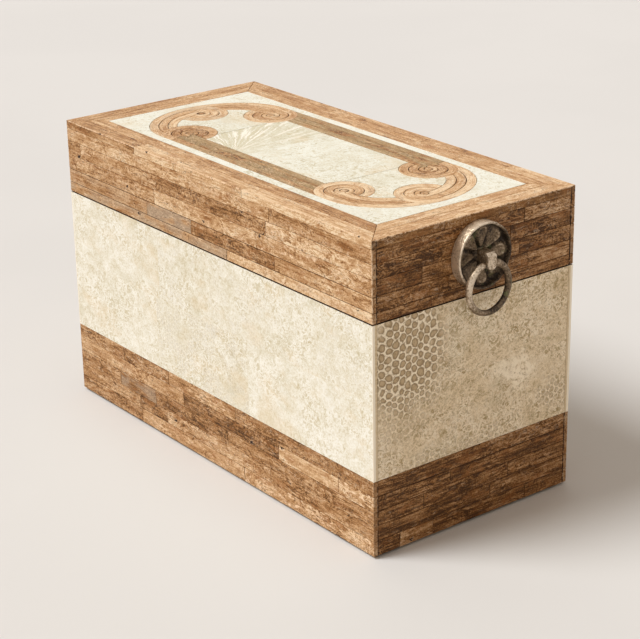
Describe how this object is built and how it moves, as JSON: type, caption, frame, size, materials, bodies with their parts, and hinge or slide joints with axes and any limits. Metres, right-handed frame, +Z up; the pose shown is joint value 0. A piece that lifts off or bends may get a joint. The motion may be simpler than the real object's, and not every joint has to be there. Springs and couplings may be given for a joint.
{
  "type": "stone box",
  "caption": "Keepsake box with a hinged lid, faced with strips of brown travertine and tiles of pale fossil stone, with a running scroll inlay and a ring pull on each end.",
  "frame": {"origin": "on the surface the box stands on, under the middle of the whole box with its hinges", "axes": "+Z up, +X along the long side, -Y towards the front, which is the side away from the hinges"},
  "size_m": [0.385, 0.1736, 0.216],
  "materials": {
    "core_wood": "plain stained boards",
    "brown_stone": "honed brown travertine strips with small filled pits, waxed",
    "pale_stone": "honed pale fossil coral stone, waxed",
    "lining_cloth": "short brown velvet",
    "felt_cloth": "dark green felt",
    "brass": "satin",
    "old_brass": "cast, dark patina worn pale on the high edges",
    "steel": "zinc plated"
  },
  "bodies": {
    "base": {"base_front_board": "core_wood", "base_back_board": "core_wood", "base_left_board": "core_wood", "base_right_board": "core_wood", "base_floor_board": "core_wood", "lower_band_front": "brown_stone", "lower_band_back": "brown_stone", "lower_band_left": "brown_stone", "lower_band_right": "brown_stone", "field_front": "pale_stone", "field_back": "pale_stone", "field_left": "pale_stone", "field_right": "pale_stone", "base_lining": "lining_cloth", "base_felt": "felt_cloth", "left_hinge_base_leaf": "brass", "left_hinge_pin": "brass", "right_hinge_base_leaf": "brass", "right_hinge_pin": "brass", "left_hinge_base_screw_a": "brass", "left_hinge_base_screw_b": "brass", "right_hinge_base_screw_a": "brass", "right_hinge_base_screw_b": "brass"},
    "lid": {"lid_front_rail": "core_wood", "lid_back_rail": "core_wood", "lid_left_rail": "core_wood", "lid_right_rail": "core_wood", "lid_top_board": "core_wood", "lid_front_strips": "brown_stone", "lid_back_strips": "brown_stone", "lid_left_strips": "brown_stone", "lid_right_strips": "brown_stone", "top_border_front": "brown_stone", "top_border_back": "brown_stone", "top_border_left": "brown_stone", "top_border_right": "brown_stone", "scroll_back": "brown_stone", "scroll_back_right": "brown_stone", "scroll_front_right": "brown_stone", "scroll_front": "brown_stone", "scroll_front_left": "brown_stone", "scroll_back_left": "brown_stone", "top_surround": "pale_stone", "top_centre_panel": "pale_stone", "lid_lining": "lining_cloth", "left_hinge_lid_leaf": "brass", "right_hinge_lid_leaf": "brass", "left_hinge_lid_screw_a": "brass", "left_hinge_lid_screw_b": "brass", "right_hinge_lid_screw_a": "brass", "right_hinge_lid_screw_b": "brass", "left_pull_rosette": "old_brass", "left_pull_post": "old_brass", "right_pull_rosette": "old_brass", "right_pull_post": "old_brass", "left_pull_nut": "steel", "right_pull_nut": "steel"},
    "left_ring": {"left_pull_ring": "old_brass"},
    "right_ring": {"right_pull_ring": "old_brass"}
  },
  "joints": [
    {"name": "lid_hinge", "type": "hinge", "parent": "base", "child": "lid", "pos_m": [0, 0.08423, 0.1615], "axis": [-1, 0, 0], "range_deg": [0, 95]},
    {"name": "left_ring_swing", "type": "hinge", "parent": "lid", "child": "left_ring", "pos_m": [-0.1892, -0.00127, 0.18515], "axis": [0, 1, 0], "range_deg": [0, 175]},
    {"name": "right_ring_swing", "type": "hinge", "parent": "lid", "child": "right_ring", "pos_m": [0.1892, -0.00127, 0.18515], "axis": [0, -1, 0], "range_deg": [0, 175]}
  ]
}
